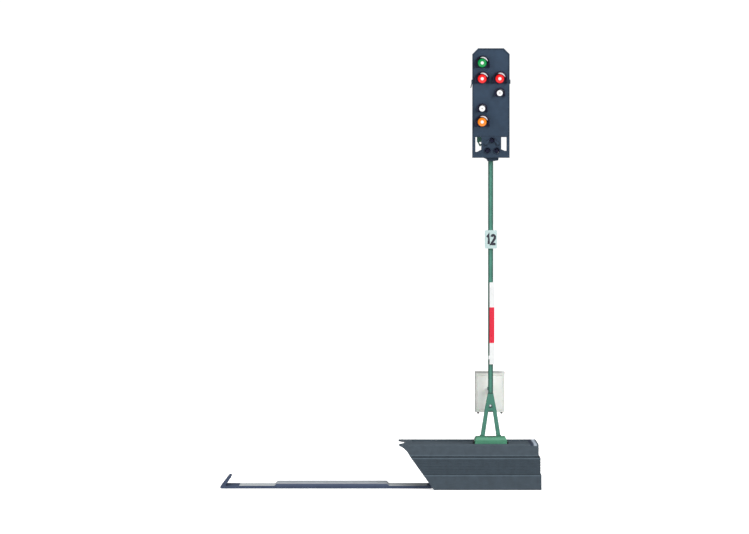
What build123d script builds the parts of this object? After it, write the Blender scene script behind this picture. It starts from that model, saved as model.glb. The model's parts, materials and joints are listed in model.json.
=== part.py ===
from build123d import *
import math
import os

# A model railway colour-light signal in H0: a base that clips to the bank of plastic-roadbed
# track, a plug-in lattice-footed mast, and a lamp head. Millimetres. The origin is on the table
# under the mast's axis. +X points away from the track, +Y to the signal's back, +Z up.

# Base housing: three tiers, each stepping in a little, and a sloped face that meets the track.
BASE_TOP = 8.8
TIER_TOPS = [2.92, 6.22, BASE_TOP]
TIER_RIGHTS = [9.67, 9.5, 9.14]
TIER_FRONTS = [-5.9, -5.65, -5.4]
TIER_BACKS = [10.8, 10.55, 10.3]
SLOPE_FOOT = (-11.05, 0.0)
SLOPE_HEAD = (-15.72, 6.5)
LIP_BEND = (-16.45, 7.6)
LIP_TIP = (-17.8, 8.5)
LIP_NOTCH_DEPTH = 1.35
LIP_NOTCH_HALF = 6.8
LIP_NOTCH_FLOOR = 6.6
LIP_THICKNESS = 0.35
LIP_ROOT = -16.2
LIP_CHEEK = 0.9
BASE_MID_Y = 2.45
WALL = 1.0
CEILING = 7.35
GROOVE_HEIGHT = 0.26
GROOVE_DEPTH = 0.16
RIB_LEVELS = [3.4, 3.92, 4.44, 4.96, 5.48]
RIB_HEIGHT = 0.14
RIB_DEPTH = 0.07
TRAY_DEPTH = 0.35
TRAY_RIGHT = 7.85
TRAY_LEFT = -15.2
TRAY_RIM = 1.2
FRONT_RIM_FALL = 0.28
OPENING_HALF_X = 3.42
OPENING_HALF_Y = 3.3

# Base plate, its screws and bosses
PLATE_TOP = 1.1
PLATE_GAP = 0.1
BOSS_RADIUS = 1.1
SCREW_RADIUS = 0.5
SCREW_HEAD_RADIUS = 0.95
SCREW_TOP = 5.0
SCREW_SHANK_BOTTOM = 0.3
SCREW_HEAD_HEIGHT = 0.46
SCREW_SLOT_DEPTH = 0.2
SCREW_PLACES = [(-7.6, -3.1), (6.6, -3.1), (-7.6, 8.0), (6.6, 8.0)]
BOARD_RIDGES = [-3.4, 8.5]

# Track clip: a flat arm that runs under the roadbed and hooks over its far edge
ARM_FRONT = -2.0
ARM_BACK = 5.7
ARM_MID_Y = (ARM_FRONT + ARM_BACK) / 2
ARM_THICKNESS = 0.55
ARM_LEFT = -52.39
ARM_NECK = -11.5
HOOK_TOP = 2.35
HOOK_LEAN = 54.5
HOOK_THICKNESS = 0.7
BAR_LEFT = -51.2
BAR_RIGHT = -48.75
BAR_TOP = 0.62
BAR_FRONT = -0.7
BAR_BACK = 3.6
TONGUE_END = -2.9
TONGUE_HALF_TOP = 3.2
TONGUE_HALF_FOOT = 2.8
TONGUE_GAP = 0.06
STRIP_LEFT = -48.7
STRIP_RIGHT = -12.3
STRIP_SLANT = 0.3
STRIP_DEPTH = 0.15
STRIP_WIDTH = 3.55
STRIP_SPACING = 3.8
TAIL_WIDTH = 1.5
TAIL_SPACING = 3.4
COVER_LEFT = -41.85
COVER_RIGHT = -19.65
COVER_TOP = 0.92
COVER_REAR_TOP = 1.02
COVER_REAR_FRONT = 1.2

# Decoder and contacts
BOARD_BOTTOM = 2.2
BOARD_TOP = 3.0
BOARD_BOX = (-10.4, 7.2, -3.6, 8.6)
SPRING_THICKNESS = 0.15
SPRING_WIDTH = 1.1
SOCKET_HALF_X = 4.0
SOCKET_HALF_Y = 3.6
POCKET_FLOOR = 4.4
PIN_RADIUS = 0.22
PIN_XS = [-1.65, -0.55, 0.55, 1.65]
PIN_YS = [-0.9, 0.9]
PIN_BOTTOM = 3.2
PLUG_HALF_X = 2.5
PLUG_HALF_Y = 2.2
PLUG_BOTTOM = 4.5

# Mast: foot, A-frame, profile and what is fixed to it
FOOT_HALF = 3.1
FOOT_BOTTOM = 7.35
FOOT_SHOULDER = 9.45
FOOT_TOP = 9.95
FOOT_BEVEL_X = 0.26
FOOT_BEVEL_Y = 0.45
WELD_PAD = 0.14
FRAME_KNEE = 14.8
FRAME_TOP = 18.5
FRAME_NEAR = 0.57
FRAME_FAR = 0.92
LEG_FLANGE = 0.22
RIVET_HEIGHT = 15.94
RIVET_RADIUS = 0.25
MAST_BOTTOM = 15.45
MAST_TOP = 64.2
MAST_HALF_X = 0.48
MAST_HALF_Y = 0.55
MAST_WEB_HALF_X = 0.24
MAST_WEB_FRONT = -0.45
MAST_WEB_BACK = 0.12
WIRE_RADIUS = 0.07
WIRE_PITCH = 0.17
LEG_MIDDLE_LOW = 1.42
LEG_MIDDLE_HIGH = 0.66
SIGN_BOX = (-0.22, 0.72, 24.0, 39.9)
SIGN_THICKNESS = 0.28
NUMBER_BOX = (-1.15, 1.2, 46.45, 50.0)
CABINET_HALF_X = 2.9
CABINET_FRONT = 3.35
CABINET_BACK = 6.55
CABINET_BOTTOM = 14.5
CABINET_TOP = 22.4
CABINET_WALL = 0.35
CABINET_LID = 0.45
CABINET_OVERHANG = 0.04
CABINET_FOOT_X = 2.48
CABINET_FOOT_WIDTH = 0.4
CABINET_FOOT_DROP = 0.3
BRACKET_HEIGHTS = (18.95, 19.55)

# Lamp head
HEAD_HALF_X = 3.6
HEAD_BOTTOM = 64.0
HEAD_TOP = 85.15
HEAD_CORNER = 1.12
SHIELD_FRONT = -2.05
SHIELD_BACK = -1.3
WINDOW_TOP = 68.0
HOUSING_HALF_X = 2.9
HOUSING_BOTTOM = 68.5
HOUSING_TOP = 84.2
HOUSING_BACK = 1.9
HOUSING_WALL = 0.4
LAMP_X = 1.7
BIG_LENS = 0.84
SMALL_LENS = 0.57
BIG_HOOD = 1.42
SMALL_HOOD = 1.02
HOOD_WALL = 0.15
HOOD_REACH = 1.7
HOOD_SHORT_REACH = 0.55
BEZEL_THICKNESS = 0.2
# name: (x, z, lens radius, hood radius, drop of the hood's flat foot below the lens centre)
LAMPS = {
    "green": (-LAMP_X, 82.3, BIG_LENS, BIG_HOOD, 0.85),
    "red_left": (-LAMP_X, 79.25, BIG_LENS, BIG_HOOD, 0.85),
    "red_right": (LAMP_X, 79.25, BIG_LENS, BIG_HOOD, 0.85),
    "white_right": (LAMP_X, 76.5, SMALL_LENS, SMALL_HOOD, 0.62),
    "white_left": (-LAMP_X, 73.5, SMALL_LENS, SMALL_HOOD, 0.62),
    "orange": (-LAMP_X, 70.9, BIG_LENS, BIG_HOOD, 0.85),
}
LENS_PROUD = 0.42
SUBSTITUTE_LAMPS = [(0.2, 67.35), (-0.68, 65.35), (1.12, 65.35)]
SUBSTITUTE_MID = 0.2
ROOF_REACH = 0.35
SUBSTITUTE_RADIUS = 0.46
RAIL_RADIUS = 0.13
RAIL_HEIGHT = 78.7
RAIL_BACK = 4.9
RAIL_CORNER = 3.4
RAIL_HALF_X = 3.1
RAIL_MIDDLE = 74.0
POST_HALF_X = 2.2
LATCH_RADIUS = 0.09
HANGER_RADIUS = 0.14
PLATFORM_HEIGHT = 69.2
PLATFORM_THICKNESS = 0.25


def block(x0, x1, y0, y1, z0, z1):
    """A box between two opposite corners."""
    return Pos((x0 + x1) / 2, (y0 + y1) / 2, (z0 + z1) / 2) * Box(x1 - x0, y1 - y0, z1 - z0)


def upright(x, y, z0, z1, radius):
    """A vertical cylinder."""
    return Pos(x, y, (z0 + z1) / 2) * Cylinder(radius, z1 - z0)


def along_y(x, z, y0, y1, radius):
    """A cylinder that runs from front to back."""
    return Pos(x, (y0 + y1) / 2, z) * Rot(X=90) * Cylinder(radius, y1 - y0)


def rod(start, end, radius):
    """A cylinder from one point to another."""
    path = Vector(*end) - Vector(*start)
    plane = Plane(origin=start, z_dir=path)
    return extrude(plane * Circle(radius), path.length)


def prism(points, y0, y1):
    """An outline of (x, z) points carried from y0 to y1."""
    outline = Polyline(*[(x, y0, z) for x, z in points], close=True)
    return extrude(make_face(outline.edges()), y1 - y0, dir=(0, 1, 0))


def prism_along_x(points, x0, x1):
    """An outline of (y, z) points carried from x0 to x1."""
    outline = Polyline(*[(x0, y, z) for y, z in points], close=True)
    return extrude(make_face(outline.edges()), x1 - x0, dir=(1, 0, 0))


def slope_x(z):
    """The x of the housing's sloped outer face at height z."""
    run = (SLOPE_HEAD[0] - SLOPE_FOOT[0]) / (SLOPE_HEAD[1] - SLOPE_FOOT[1])
    return SLOPE_FOOT[0] + run * z


def wall_shift():
    """How far a wall's thickness reaches along x through the slope."""
    return WALL / math.sin(math.atan2(SLOPE_HEAD[1], SLOPE_FOOT[0] - SLOPE_HEAD[0]))


def tiers():
    """The stepped block that the housing's front, right and back faces follow."""
    solid = None
    bottom = -1.0
    for top, right, front, back in zip(TIER_TOPS, TIER_RIGHTS, TIER_FRONTS, TIER_BACKS):
        tier = block(LIP_TIP[0] - 1, right, front, back, bottom, top)
        solid = tier if solid is None else solid + tier
        bottom = top
    return solid


def ring_cut(z0, z1, tier, depth):
    """A thin groove round the front, right and back of one tier."""
    right, front, back = TIER_RIGHTS[tier], TIER_FRONTS[tier], TIER_BACKS[tier]
    outer = block(slope_x(z1) + 0.5, right + 1, front - 1, back + 1, z0, z1)
    inner = block(slope_x(z1) - 1, right - depth, front + depth, back - depth, z0 - 1, z1 + 1)
    return outer - inner


def cavity(gap, z0, z1):
    """The space inside the housing's walls, shrunk by gap all round."""
    left = wall_shift() + gap
    points = [
        (slope_x(z0) + left, z0),
        (TIER_RIGHTS[2] - WALL - gap, z0),
        (TIER_RIGHTS[2] - WALL - gap, z1),
        (slope_x(z1) + left, z1),
    ]
    return prism(points, TIER_FRONTS[2] + WALL + gap, TIER_BACKS[2] - WALL - gap)


def dovetail(half_foot, half_top, top, x0, x1):
    """A bar whose sides lean outwards, so that it can only slide along x."""
    points = [
        (ARM_MID_Y - half_foot, 0),
        (ARM_MID_Y + half_foot, 0),
        (ARM_MID_Y + half_top, top),
        (ARM_MID_Y - half_top, top),
    ]
    return prism_along_x(points, x0, x1)


def make_base_housing():
    """The outer shell, open below, with the track lip, the tray and the mast's opening."""
    corner = (LIP_TIP[0], BASE_TOP)
    right = TIER_RIGHTS[0] + 1
    lip = ThreePointArc(*[(x, 0, z) for x, z in (SLOPE_HEAD, LIP_BEND, LIP_TIP)])
    corners = [LIP_TIP, corner, (right, BASE_TOP), (right, 0), SLOPE_FOOT, SLOPE_HEAD]
    rest = Polyline(*[(x, 0, z) for x, z in corners])
    outline = make_face(lip.edges() + rest.edges())
    depth = TIER_BACKS[0] - TIER_FRONTS[0]
    shell = Pos(0, TIER_FRONTS[0], 0) * extrude(outline, depth, dir=(0, 1, 0))
    shell = shell & tiers()
    rim_front, rim_back = TIER_FRONTS[2], TIER_FRONTS[2] + TRAY_RIM
    fall = [
        (rim_front - 0.01, BASE_TOP - FRONT_RIM_FALL),
        (rim_back, BASE_TOP),
        (rim_front - 0.01, BASE_TOP + 1),
    ]
    shell -= prism_along_x(fall, LIP_TIP[0] - 1, TIER_RIGHTS[2] + 1)
    notch = (LIP_NOTCH_HALF**2 + LIP_NOTCH_DEPTH**2) / (2 * LIP_NOTCH_DEPTH)
    notch_x = LIP_TIP[0] + LIP_NOTCH_DEPTH - notch
    shell -= upright(notch_x, BASE_MID_Y, LIP_NOTCH_FLOOR, BASE_TOP + 1, notch)
    lip_left, lip_foot = LIP_TIP[0] - 1, BASE_TOP - LIP_THICKNESS
    cheek = TIER_FRONTS[2] + LIP_CHEEK
    shell -= block(lip_left, LIP_ROOT, cheek, TIER_BACKS[0] + 1, LIP_NOTCH_FLOOR, lip_foot)
    shell -= ring_cut(TIER_TOPS[1], TIER_TOPS[1] + GROOVE_HEIGHT, 2, GROOVE_DEPTH)
    for level in RIB_LEVELS:
        shell -= ring_cut(level, level + RIB_HEIGHT, 1, RIB_DEPTH)
    tray_front = rim_back
    tray_back = TIER_BACKS[2] - TRAY_RIM
    tray_floor = BASE_TOP - TRAY_DEPTH
    shell -= block(TRAY_LEFT, TRAY_RIGHT, tray_front, tray_back, tray_floor, BASE_TOP + 1)
    shell -= cavity(0, -0.01, CEILING)
    for x, y in SCREW_PLACES:
        shell += upright(x, y, PLATE_TOP + PLATE_GAP, CEILING + 0.1, BOSS_RADIUS)
        shell -= upright(x, y, 0, SCREW_TOP + 0.2, SCREW_RADIUS + 0.02)
    x, y = OPENING_HALF_X, OPENING_HALF_Y
    shell -= block(-x, x, -y, y, CEILING - 1, BASE_TOP + 1)
    gate_top = ARM_THICKNESS + 0.1
    gate_left, gate_right = SLOPE_FOOT[0] - 2, SLOPE_FOOT[0] + 3
    shell -= block(gate_left, gate_right, ARM_FRONT - 0.1, ARM_BACK + 0.1, -1, gate_top)
    return shell


def make_base_plate():
    """The bottom cover: it carries the dovetail guide of the track clip and the contact windows."""
    plate = cavity(PLATE_GAP, 0, PLATE_TOP)
    roof = ARM_THICKNESS + TONGUE_GAP
    half_foot, half_top = TONGUE_HALF_FOOT + TONGUE_GAP, TONGUE_HALF_TOP + TONGUE_GAP
    plate -= dovetail(half_foot, half_top, roof, -14, TONGUE_END + 0.1)
    for y in tail_rows():
        half = SPRING_WIDTH / 2 + 0.3
        plate -= block(-8.4, -4.4, y - half, y + half, 0.3, PLATE_TOP + 1)
    for x, y in SCREW_PLACES:
        plate -= upright(x, y, -1, PLATE_TOP + 1, SCREW_RADIUS + 0.08)
        plate -= Pos(x, y, 0.24) * Cone(SCREW_HEAD_RADIUS + 0.06, SCREW_RADIUS + 0.06, 0.5)
    for y in BOARD_RIDGES:
        plate += block(-4.5, 4.0, y - 0.4, y + 0.4, PLATE_TOP, BOARD_BOTTOM)
    return plate


def make_plate_screws():
    """Four countersunk self-tapping screws, heads flush with the plate's underside."""
    screws = []
    for x, y in SCREW_PLACES:
        screw = upright(x, y, SCREW_SHANK_BOTTOM, SCREW_TOP, SCREW_RADIUS)
        head = Cone(SCREW_HEAD_RADIUS, SCREW_RADIUS, SCREW_HEAD_HEIGHT)
        screw += Pos(x, y, 0.04 + SCREW_HEAD_HEIGHT / 2) * head
        screw -= block(x - 0.7, x + 0.7, y - 0.12, y + 0.12, -0.1, SCREW_SLOT_DEPTH)
        screws.append(screw)
    return Compound(children=[s.solid() for s in screws])


def tail_rows():
    """The y of the two contact tails and of the springs above them."""
    return [ARM_MID_Y - TAIL_SPACING / 2, ARM_MID_Y + TAIL_SPACING / 2]


def make_contact_strip(row):
    """One contact strip: a broad plate along the arm, and a narrow tail into the base."""
    middle = ARM_MID_Y + row * STRIP_SPACING / 2
    tail = ARM_MID_Y + row * TAIL_SPACING / 2
    bottom = ARM_THICKNESS - STRIP_DEPTH
    half = STRIP_WIDTH / 2
    end = [
        (STRIP_LEFT, bottom),
        (STRIP_RIGHT - STRIP_SLANT, bottom),
        (STRIP_RIGHT, ARM_THICKNESS),
        (STRIP_LEFT, ARM_THICKNESS),
    ]
    strip = prism(end, middle - half, middle + half)
    top = ARM_THICKNESS - 0.02
    y0, y1 = tail - TAIL_WIDTH / 2, tail + TAIL_WIDTH / 2
    return strip + block(STRIP_RIGHT - 1, TONGUE_END - 0.4, y0, y1, bottom, top)


def make_track_clip_arm():
    """The flat carrier with its hook, a stiffening bar inside the hook, and the guide tongue."""
    lean = math.tan(math.radians(HOOK_LEAN))
    across = HOOK_THICKNESS / math.sin(math.radians(HOOK_LEAN))
    rise = HOOK_TOP - 0.3
    outer_top = ARM_LEFT + rise / lean
    inner_foot = ARM_LEFT + across + (ARM_THICKNESS - 0.3) / lean
    points = [
        (ARM_LEFT + 0.3, 0),
        (ARM_NECK, 0),
        (ARM_NECK, ARM_THICKNESS),
        (inner_foot, ARM_THICKNESS),
        (outer_top + 0.75 * across, HOOK_TOP - 0.2),
        (outer_top + 0.5 * across, HOOK_TOP),
        (outer_top + 0.1, HOOK_TOP),
        (ARM_LEFT, 0.3),
        (ARM_LEFT + 0.08, 0.1),
    ]
    arm = prism(points, ARM_FRONT, ARM_BACK)
    arm += block(BAR_LEFT, BAR_RIGHT, BAR_FRONT, BAR_BACK, ARM_THICKNESS, BAR_TOP)
    arm += dovetail(TONGUE_HALF_FOOT, TONGUE_HALF_TOP, ARM_THICKNESS, ARM_NECK - 0.1, TONGUE_END)
    for row in (-1, 1):
        arm -= make_contact_strip(row)
    return arm


def make_strip_cover():
    """The raised block that bridges both strips at mid-arm: chamfered ends, a step to the rear."""
    cover = None
    for top, front in ((COVER_TOP, ARM_FRONT), (COVER_REAR_TOP, COVER_REAR_FRONT)):
        bevel = top - ARM_THICKNESS
        points = [
            (COVER_LEFT, ARM_THICKNESS),
            (COVER_RIGHT, ARM_THICKNESS),
            (COVER_RIGHT - bevel, top),
            (COVER_LEFT + bevel, top),
        ]
        step = prism(points, front, ARM_BACK)
        cover = step if cover is None else cover + step
    return cover


def make_decoder_board():
    """The circuit board, cut round the bosses."""
    x0, x1, y0, y1 = BOARD_BOX
    board = block(x0, x1, y0, y1, BOARD_BOTTOM, BOARD_TOP)
    for x, y in SCREW_PLACES:
        board -= upright(x, y, 0, 9, BOSS_RADIUS + 0.15)
    return board


def make_chip(x, y, length, width, height, legs):
    """A small-outline circuit with gull legs along its two long sides."""
    z = BOARD_TOP + 0.12
    chip = block(x - length / 2, x + length / 2, y - width / 2, y + width / 2, z, z + height)
    pitch = length / legs
    for i in range(legs):
        leg_x = x - length / 2 + pitch * (i + 0.5)
        for side in (-1, 1):
            inner, outer = sorted((y + side * (width / 2 - 0.05), y + side * (width / 2 + 0.45)))
            left, right = leg_x - pitch / 5, leg_x + pitch / 5
            chip += block(left, right, inner, outer, BOARD_TOP, BOARD_TOP + 0.35)
    return chip


def make_buffer_capacitor():
    """A round electrolytic capacitor on its square seat."""
    can = upright(-6.4, 2.8, BOARD_TOP + 0.3, 6.6, 1.5)
    can = fillet(can.edges().sort_by(Axis.Z)[-1], 0.2)
    return can + block(-8.0, -4.8, 1.2, 4.4, BOARD_TOP, BOARD_TOP + 0.3)


def make_board_resistors():
    """A row of chip resistors, one for each lamp circuit."""
    resistors = []
    for i in range(6):
        x = -2.9 + i * 1.15
        body = block(x - 0.25, x + 0.25, 7.6, 8.5, BOARD_TOP, BOARD_TOP + 0.35)
        resistors.append(body.solid())
    return Compound(children=resistors)


def make_contact_spring(y):
    """A leaf that hangs from the board and rests over a contact tail, with a turned-up tip."""
    contact = ARM_THICKNESS + TONGUE_GAP
    t = SPRING_THICKNESS
    points = [
        (-4.6, BOARD_BOTTOM),
        (-5.9, BOARD_BOTTOM),
        (-5.9, BOARD_BOTTOM - t),
        (-5.15, BOARD_BOTTOM - t),
        (-6.75, contact + t),
        (-7.15, contact + t),
        (-7.75, contact + 0.6),
        (-7.9, contact + 0.5),
        (-7.25, contact),
        (-6.65, contact),
        (-4.6, BOARD_BOTTOM - 2 * t),
    ]
    return prism(points, y - SPRING_WIDTH / 2, y + SPRING_WIDTH / 2)


def make_mast_socket():
    """The block under the opening that takes the mast's plug."""
    x, y = SOCKET_HALF_X, SOCKET_HALF_Y
    socket = block(-x, x, -y, y, BOARD_TOP, CEILING)
    gap = 0.08
    x, y = PLUG_HALF_X + gap, PLUG_HALF_Y + gap
    socket -= block(-x, x, -y, y, POCKET_FLOOR, CEILING + 1)
    for x, y in pin_places():
        socket -= upright(x, y, BOARD_TOP - 1, POCKET_FLOOR + 1, PIN_RADIUS + 0.22)
    return socket


def pin_places():
    """Where the plug's pins stand."""
    return [(x, y) for x in PIN_XS for y in PIN_YS]


def make_socket_contacts():
    """One sleeve for each pin, soldered to the board."""
    sleeves = []
    for x, y in pin_places():
        sleeve = upright(x, y, BOARD_TOP, POCKET_FLOOR - 0.05, PIN_RADIUS + 0.2)
        sleeve -= upright(x, y, BOARD_TOP + 0.1, POCKET_FLOOR + 1, PIN_RADIUS + 0.04)
        sleeves.append(sleeve.solid())
    return Compound(children=sleeves)


def make_foot_plug():
    """The insulating plug under the foot."""
    plug = block(-PLUG_HALF_X, PLUG_HALF_X, -PLUG_HALF_Y, PLUG_HALF_Y, PLUG_BOTTOM, FOOT_BOTTOM)
    for x, y in pin_places():
        plug -= upright(x, y, PLUG_BOTTOM - 1, PLUG_BOTTOM + 1.3, PIN_RADIUS + 0.01)
    return plug


def make_plug_pins():
    """The round contact pins."""
    pins = [upright(x, y, PIN_BOTTOM, PLUG_BOTTOM + 1.25, PIN_RADIUS) for x, y in pin_places()]
    return Compound(children=[pin.solid() for pin in pins])


def make_mast_foot():
    """The cast foot: a square plinth with a bevelled top and four weld pads."""
    foot = block(-FOOT_HALF, FOOT_HALF, -FOOT_HALF, FOOT_HALF, FOOT_BOTTOM, FOOT_SHOULDER)
    lower = Plane.XY.offset(FOOT_SHOULDER) * Rectangle(2 * FOOT_HALF, 2 * FOOT_HALF)
    top_size = (2 * (FOOT_HALF - FOOT_BEVEL_X), 2 * (FOOT_HALF - FOOT_BEVEL_Y))
    upper = Plane.XY.offset(FOOT_TOP) * Rectangle(*top_size)
    foot += loft([lower, upper])
    for side_x in (-1, 1):
        for side_y in (-1, 1):
            x0, x1 = sorted((side_x * 1.0, side_x * 2.2))
            y0, y1 = sorted((side_y * (FRAME_NEAR - 0.08), side_y * (FRAME_FAR + 0.15)))
            foot += block(x0, x1, y0, y1, FOOT_TOP, FOOT_TOP + WELD_PAD)
    return foot


def make_mast_frame(side):
    """One A-frame: two legs with turned flanges, joined by a tapering gusset."""
    foot = FOOT_TOP + WELD_PAD
    y0, y1 = sorted((side * FRAME_NEAR, side * FRAME_FAR))
    plate = [
        (-1.96, foot),
        (-1.12, foot),
        (-0.44, FRAME_KNEE),
        (0.44, FRAME_KNEE),
        (1.12, foot),
        (1.96, foot),
        (1.2, FRAME_KNEE),
        (0.5, FRAME_TOP),
        (-0.5, FRAME_TOP),
        (-1.2, FRAME_KNEE),
    ]
    frame = prism(plate, y0, y1)
    flange_y = sorted((side * 0.1, side * FRAME_FAR))
    for hand in (-1, 1):
        flange = [
            (hand * 1.96, foot),
            (hand * (1.96 - LEG_FLANGE), foot),
            (hand * (1.2 - LEG_FLANGE), FRAME_KNEE),
            (hand * 1.2, FRAME_KNEE),
        ]
        frame += prism(flange, *flange_y)
    if side < 0:
        frame -= along_y(0, RIVET_HEIGHT, -2, 0, RIVET_RADIUS + 0.02)
    return frame


def make_gusset_rivet():
    """The rivet that holds the front gusset to the mast's web. Its head stands on the gusset."""
    head = along_y(0, RIVET_HEIGHT, -FRAME_FAR - 0.2, -FRAME_FAR, RIVET_RADIUS + 0.08)
    head = fillet(head.edges().sort_by(Axis.Y)[0], 0.12)
    return head + along_y(0, RIVET_HEIGHT, -FRAME_FAR, MAST_WEB_BACK, RIVET_RADIUS)


def make_mast_profile():
    """The rolled H-section: a shallow groove in front, a deep channel behind."""
    profile = block(-MAST_HALF_X, MAST_HALF_X, -MAST_HALF_Y, MAST_HALF_Y, MAST_BOTTOM, MAST_TOP)
    x = MAST_WEB_HALF_X
    for y0, y1 in ((-2, MAST_WEB_FRONT), (MAST_WEB_BACK, 2)):
        profile -= block(-x, x, y0, y1, MAST_BOTTOM - 1, MAST_TOP + 1)
    return profile - along_y(0, RIVET_HEIGHT, -2, 2, RIVET_RADIUS + 0.02)


def make_lamp_wires():
    """Enamelled wires: up inside one leg, across behind the gusset, then up the rear channel."""
    wires = []
    for row in range(2):
        y = MAST_WEB_BACK + 0.09 + row * WIRE_PITCH
        for column in range(3):
            x = (column - 1) * WIRE_PITCH
            rise = column * WIRE_PITCH / 2
            corners = [
                (LEG_MIDDLE_LOW + x, y, FOOT_TOP),
                (LEG_MIDDLE_HIGH + x, y, FRAME_KNEE + 0.08 + rise),
                (x, y, FRAME_KNEE + 0.4 + rise),
                (x, y, MAST_TOP - 0.2),
            ]
            wire = rod(corners[0], corners[1], WIRE_RADIUS)
            for start, end in zip(corners[1:], corners[2:]):
                wire += Pos(*start) * Sphere(WIRE_RADIUS)
                wire += rod(start, end, WIRE_RADIUS)
            wires.append(wire.solid())
    return Compound(children=wires)


def make_mast_sign():
    """The white-red-white sign with its fixing tab."""
    x0, x1, z0, z1 = SIGN_BOX
    sign = block(x0, x1, -MAST_HALF_Y - SIGN_THICKNESS, -MAST_HALF_Y, z0, z1)
    sign += block(x0 - 0.2, x0, -MAST_HALF_Y - SIGN_THICKNESS, -MAST_HALF_Y, z0 + 1.0, z0 + 1.7)
    return sign


def make_number_plate():
    """The plate that carries the signal's number, with rounded corners."""
    x0, x1, z0, z1 = NUMBER_BOX
    plate = block(x0, x1, -MAST_HALF_Y - SIGN_THICKNESS, -MAST_HALF_Y, z0, z1)
    return fillet(plate.edges().filter_by(Axis.Y), 0.2)


def make_cabinet_body():
    """The hollow relay box: overhanging lid, door joint and hinge side."""
    w = CABINET_WALL
    x = CABINET_HALF_X
    lid_bottom = CABINET_TOP - CABINET_LID
    body = block(-x, x, CABINET_FRONT, CABINET_BACK, lid_bottom, CABINET_TOP)
    x -= CABINET_OVERHANG
    y0, y1 = CABINET_FRONT + CABINET_OVERHANG, CABINET_BACK - CABINET_OVERHANG
    body += block(-x, x, y0, y1, CABINET_BOTTOM, lid_bottom)
    body -= block(-x + w, x - w, y0 + w, y1 - w, CABINET_BOTTOM - 1, CABINET_TOP - w)
    top = CABINET_TOP - 0.75
    for face in (y0, y1):
        seam = block(-x + 0.3, x - 0.3, face - 0.08, face + 0.08, CABINET_BOTTOM + 0.3, top)
        seam -= block(-x + 0.42, x - 0.42, face - 1, face + 1, CABINET_BOTTOM + 0.42, top - 0.12)
        body -= seam
    return body


def make_cabinet_floor():
    """The plate that closes the relay box below, with two short feet."""
    inset = CABINET_OVERHANG + CABINET_WALL + 0.02
    x = CABINET_HALF_X - inset
    y0, y1 = CABINET_FRONT + inset, CABINET_BACK - inset
    floor = block(-x, x, y0, y1, CABINET_BOTTOM, CABINET_BOTTOM + 0.4)
    for side in (-1, 1):
        outer = side * CABINET_FOOT_X
        x0, x1 = sorted((outer, outer - side * CABINET_FOOT_WIDTH))
        floor += block(x0, x1, y0, y1, CABINET_BOTTOM - CABINET_FOOT_DROP, CABINET_BOTTOM)
    return floor


def make_cabinet_bracket():
    """The cast arm from the mast's back to the relay box."""
    low, high = BRACKET_HEIGHTS
    arm = block(-0.3, 0.3, MAST_HALF_Y, CABINET_FRONT + CABINET_OVERHANG, low, high)
    clasp = block(-0.6, 0.5, MAST_HALF_Y - 0.4, MAST_HALF_Y + 0.3, low, high)
    clasp -= block(-MAST_HALF_X, 2, -2, MAST_HALF_Y, low - 1, high + 1)
    return arm + clasp


def shield_outline():
    """The head's outer outline: chamfered top corners and a bottom edge that dips to the neck."""
    return [
        (-HEAD_HALF_X, HEAD_BOTTOM),
        (HEAD_HALF_X, HEAD_BOTTOM),
        (HEAD_HALF_X, HEAD_TOP - HEAD_CORNER),
        (HEAD_HALF_X - HEAD_CORNER, HEAD_TOP),
        (-HEAD_HALF_X + HEAD_CORNER, HEAD_TOP),
        (-HEAD_HALF_X, HEAD_TOP - HEAD_CORNER),
    ]


def make_head_shield():
    """The background shield: raised rim, lamp holes, two windows, and a roof over the low lamps."""
    shield = prism(shield_outline(), SHIELD_FRONT, SHIELD_BACK)
    rim = 0.22
    field = [
        (-HEAD_HALF_X + rim, WINDOW_TOP + 0.12),
        (HEAD_HALF_X - rim, WINDOW_TOP + 0.12),
        (HEAD_HALF_X - rim, HEAD_TOP - HEAD_CORNER - rim / 2),
        (HEAD_HALF_X - HEAD_CORNER - rim / 2, HEAD_TOP - rim),
        (-HEAD_HALF_X + HEAD_CORNER + rim / 2, HEAD_TOP - rim),
        (-HEAD_HALF_X + rim, HEAD_TOP - HEAD_CORNER - rim / 2),
    ]
    shield -= prism(field, SHIELD_FRONT - 1, SHIELD_FRONT + 0.1)
    left_window = [
        (-3.0, 65.15),
        (-2.7, 65.15),
        (-1.87, 65.6),
        (-1.87, WINDOW_TOP),
        (-3.0, WINDOW_TOP),
    ]
    right_window = [
        (3.02, 65.35),
        (2.7, 65.35),
        (1.98, 65.65),
        (1.98, WINDOW_TOP),
        (3.02, WINDOW_TOP),
    ]
    for window in (left_window, right_window):
        shield -= prism(window, SHIELD_FRONT - 1, SHIELD_BACK + 1)
    for x, z, lens, _hood, _drop in LAMPS.values():
        shield -= along_y(x, z, SHIELD_FRONT - 1, SHIELD_BACK + 1, lens - 0.08)
    for hand in (-1, 1):
        near, far = SUBSTITUTE_MID + hand * 0.9, SUBSTITUTE_MID + hand * 1.5
        relief = [
            (SUBSTITUTE_MID, 68.08),
            (far, 66.78),
            (far, 66.5),
            (near, 66.5),
            (near, 66.65),
            (SUBSTITUTE_MID, 67.93),
        ]
        shield += prism(relief, SHIELD_FRONT - ROOF_REACH, SHIELD_FRONT + 0.1)
    for x, z in SUBSTITUTE_LAMPS:
        shield += along_y(x, z, SHIELD_FRONT - 0.2, SHIELD_FRONT + 0.1, SUBSTITUTE_RADIUS + 0.12)
        shield -= along_y(x, z, SHIELD_FRONT - 1, SHIELD_BACK + 1, SUBSTITUTE_RADIUS)
    return shield


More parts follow.
